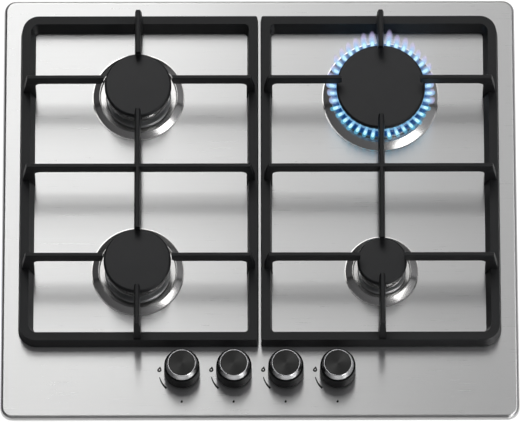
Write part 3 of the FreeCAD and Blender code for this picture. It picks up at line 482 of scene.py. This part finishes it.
# Gas flame, light and no surface: a cyan-white core at each port in a clear blue sheath, and pale
# violet veils at the sides and the rear only, since at the front they would hide the cores
core_glow = flame_glow("gas_flame_core", 1.6, [
    (0.0, "#8CDCFF", 0.35), (0.35, "#DCFAFF", 0.65), (0.7, "#C4F6FC", 0.55), (1.0, "#8CDCF4", 0.0)])
sheath_glow = flame_glow("gas_flame_sheath", 1.3, [
    (0.0, "#2F90E0", 0.1), (0.4, "#5CCCF4", 0.25), (0.8, "#74CCF2", 0.18), (1.0, "#8CC8F0", 0.0)])
veil_glow = flame_glow("gas_flame_veil", 1.1, [
    (0.0, "#5AA6F0", 0.0), (0.25, "#B4D4F8", 0.12), (0.7, "#CCC8F4", 0.14), (1.0, "#D2C0F2", 0.0)])
# Where the flames join: a pale line at the ports, and a dim deep blue haze round it
root_light = flame_glow("gas_flame_root", 1.4, [(0.0, "#A8E2FF", 0.3), (1.0, "#A8E2FF", 0.3)])
haze_light = flame_glow("gas_flame_haze", 1.0, [(0.0, "#0C468A", 0.42), (1.0, "#0C468A", 0.42)])

angles = np.radians(360 * (np.arange(PORT_COUNT) + 0.5) / PORT_COUNT)
veil_angles = angles[np.sin(angles) > -0.3]
flames("flame_cores", core_glow, angles, length=10 * MM, rise_front=3 * MM, rise_rear=8 * MM,
       width=3.8 * MM)
flames("flame_sheaths", sheath_glow, angles, length=13 * MM, rise_front=4 * MM,
       rise_rear=15 * MM, width=5.6 * MM)
for size in (1.0, 0.78, 0.56):
    flames("flame_veils_%d" % (size * 100), veil_glow, veil_angles, length=13 * MM,
           rise_front=6 * MM, rise_rear=34 * size ** 0.3 * MM, width=9.5 * size * MM)
root_glow("flame_root_ring", root_light, depth=2.4 * MM, height=2.2 * MM)
root_glow("flame_haze_ring", haze_light, depth=9 * MM, height=4 * MM)

# ---------------------------------------------------------------- floor, light and camera
FLOOR_HALF_WIDTH = 12.0
GLOW_FOR_LENS, GLOW_IN_METAL = 0.9, 0.4


def studio_floor():
    """Pale paper under the tray, which keeps the object's shadow.

    Its own glow makes it white for the lens and pale where metal mirrors it. Matt surfaces get no
    light from that glow.
    """
    material, tree, output = new_material("studio_paper")
    paper = add(tree, "ShaderNodeBsdfDiffuse", {"Color": colour("#D8D8D8")})
    rays = add(tree, "ShaderNodeLightPath")
    reflected = add(tree, "ShaderNodeMath", {
        0: rays.outputs["Is Glossy Ray"], 1: rays.outputs["Is Transmission Ray"]},
        operation="MAXIMUM")
    mirrored = add(tree, "ShaderNodeMath", {0: reflected.outputs[0], 1: GLOW_IN_METAL},
                   operation="MULTIPLY")
    lit = add(tree, "ShaderNodeMath", {
        0: rays.outputs["Is Camera Ray"], 1: GLOW_FOR_LENS, 2: mirrored.outputs[0]},
        operation="MULTIPLY_ADD")
    glow = add(tree, "ShaderNodeEmission", {"Color": (1, 1, 1, 1), "Strength": lit.outputs[0]})
    total = add(tree, "ShaderNodeAddShader", {0: paper.outputs[0], 1: glow.outputs[0]})
    tree.links.new(total.outputs[0], output.inputs["Surface"])
    mesh = bpy.data.meshes.new("studio_floor")
    corners = [(x * FLOOR_HALF_WIDTH, y * FLOOR_HALF_WIDTH, 0)
               for x, y in ((-1, -1), (1, -1), (1, 1), (-1, 1))]
    mesh.from_pydata(corners, [], [(0, 1, 2, 3)])
    mesh.materials.append(material)
    floor = bpy.data.objects.new("studio_floor", mesh)
    bpy.context.scene.collection.objects.link(floor)


def studio_world():
    """Dim studio walls: a little brighter overhead, and brightest to the right."""
    overhead = ((0.5, "#464647"), (0.9, "#646466"))
    world = bpy.data.worlds.new("studio")
    world.use_nodes = True
    tree = world.node_tree
    tree.nodes.clear()
    looking = add(tree, "ShaderNodeTexCoord").outputs["Generated"]
    direction = add(tree, "ShaderNodeSeparateXYZ", {0: looking})
    ramp = add(tree, "ShaderNodeValToRGB", {"Fac": direction.outputs["Z"]})
    for element, (position, code) in zip(ramp.color_ramp.elements, overhead):
        element.position = position
        element.color = colour(code)
    sideways = add(tree, "ShaderNodeMapRange", {
        "Value": direction.outputs["X"], "From Min": 0.1, "From Max": 0.75,
        "To Min": 1.0, "To Max": 3.2})
    back = add(tree, "ShaderNodeBackground", {
        "Color": ramp.outputs["Color"], "Strength": sideways.outputs["Result"]})
    output = add(tree, "ShaderNodeOutputWorld")
    tree.links.new(back.outputs[0], output.inputs["Surface"])
    bpy.context.scene.world = world


def photo_camera():
    """Long lens from the front, 69.8 degrees above the panel, for an image of 521 x 422."""
    image_width_px, focal_px, sensor_mm = 521, 7398.92, 36.0
    lift = math.radians(69.805)
    roll = math.radians(-0.089)
    distance = 8.478
    target = Vector((1.0 * MM, -4.903 * MM, panel_top))
    back = Vector((0, -math.cos(lift), math.sin(lift)))
    right = Vector((1, 0, 0))
    up = back.cross(right)
    turned_right = right * math.cos(roll) + up * math.sin(roll)
    turned_up = up * math.cos(roll) - right * math.sin(roll)
    data = bpy.data.cameras.new("photo_camera")
    data.sensor_width = sensor_mm
    data.lens = sensor_mm * focal_px / image_width_px
    data.clip_end = 100.0
    camera = bpy.data.objects.new("photo_camera", data)
    matrix = Matrix((turned_right, turned_up, back)).transposed().to_4x4()
    matrix.translation = target + back * distance
    camera.matrix_world = matrix
    bpy.context.scene.collection.objects.link(camera)
    bpy.context.scene.camera = camera


def softbox(name, position, target, width, depth, radiance):
    """Rectangular lamp; its power is pi times its area times the brightness of its face."""
    lamp = bpy.data.lights.new(name, "AREA")
    lamp.shape = "RECTANGLE"
    lamp.size = width
    lamp.size_y = depth
    lamp.energy = radiance * math.pi * width * depth
    made = bpy.data.objects.new(name, lamp)
    made.location = position
    aim = Vector(target) - Vector(position)
    made.rotation_euler = aim.to_track_quat("-Z", "Y").to_euler()
    bpy.context.scene.collection.objects.link(made)


# High behind the object hang three scrims side by side, each with a shallower, brighter strip in
# front. The brushed panel mirrors them towards the lens, brightest on its left.
# Each row is a place, x, width and level.
LAMP_ROWS = (("left", -0.95, 1.7, 1.09), ("middle", 0.1, 0.4, 0.64), ("right", 1.05, 1.5, 0.42))
SCRIM = {"y": 2.84, "z": 4.17, "depth": 3.1, "radiance": 1.65}
STRIP = {"y": 2.76, "z": 4.22, "depth": 0.6, "radiance": 2.3}

studio_floor()
studio_world()
photo_camera()
for lamp_place, x, width, level in LAMP_ROWS:
    for kind, lamp in (("scrim_", SCRIM), ("strip_", STRIP)):
        softbox(kind + lamp_place, (x, lamp["y"], lamp["z"]), (x, 0.0, panel_top),
                width, lamp["depth"], lamp["radiance"] * level)
# Two small softboxes at the front right give collars, spreaders and knob rings their highlights
centre_high = (0.0, 0.0, panel_top)
softbox("softbox_front_right", (0.78, -0.40, 1.40), centre_high,
        width=0.6, depth=0.46, radiance=3.7)
softbox("softbox_low_front_right", (0.86, -1.30, 0.50), centre_high,
        width=0.5, depth=0.4, radiance=4.5)
bpy.context.scene.view_settings.view_transform = "Standard"
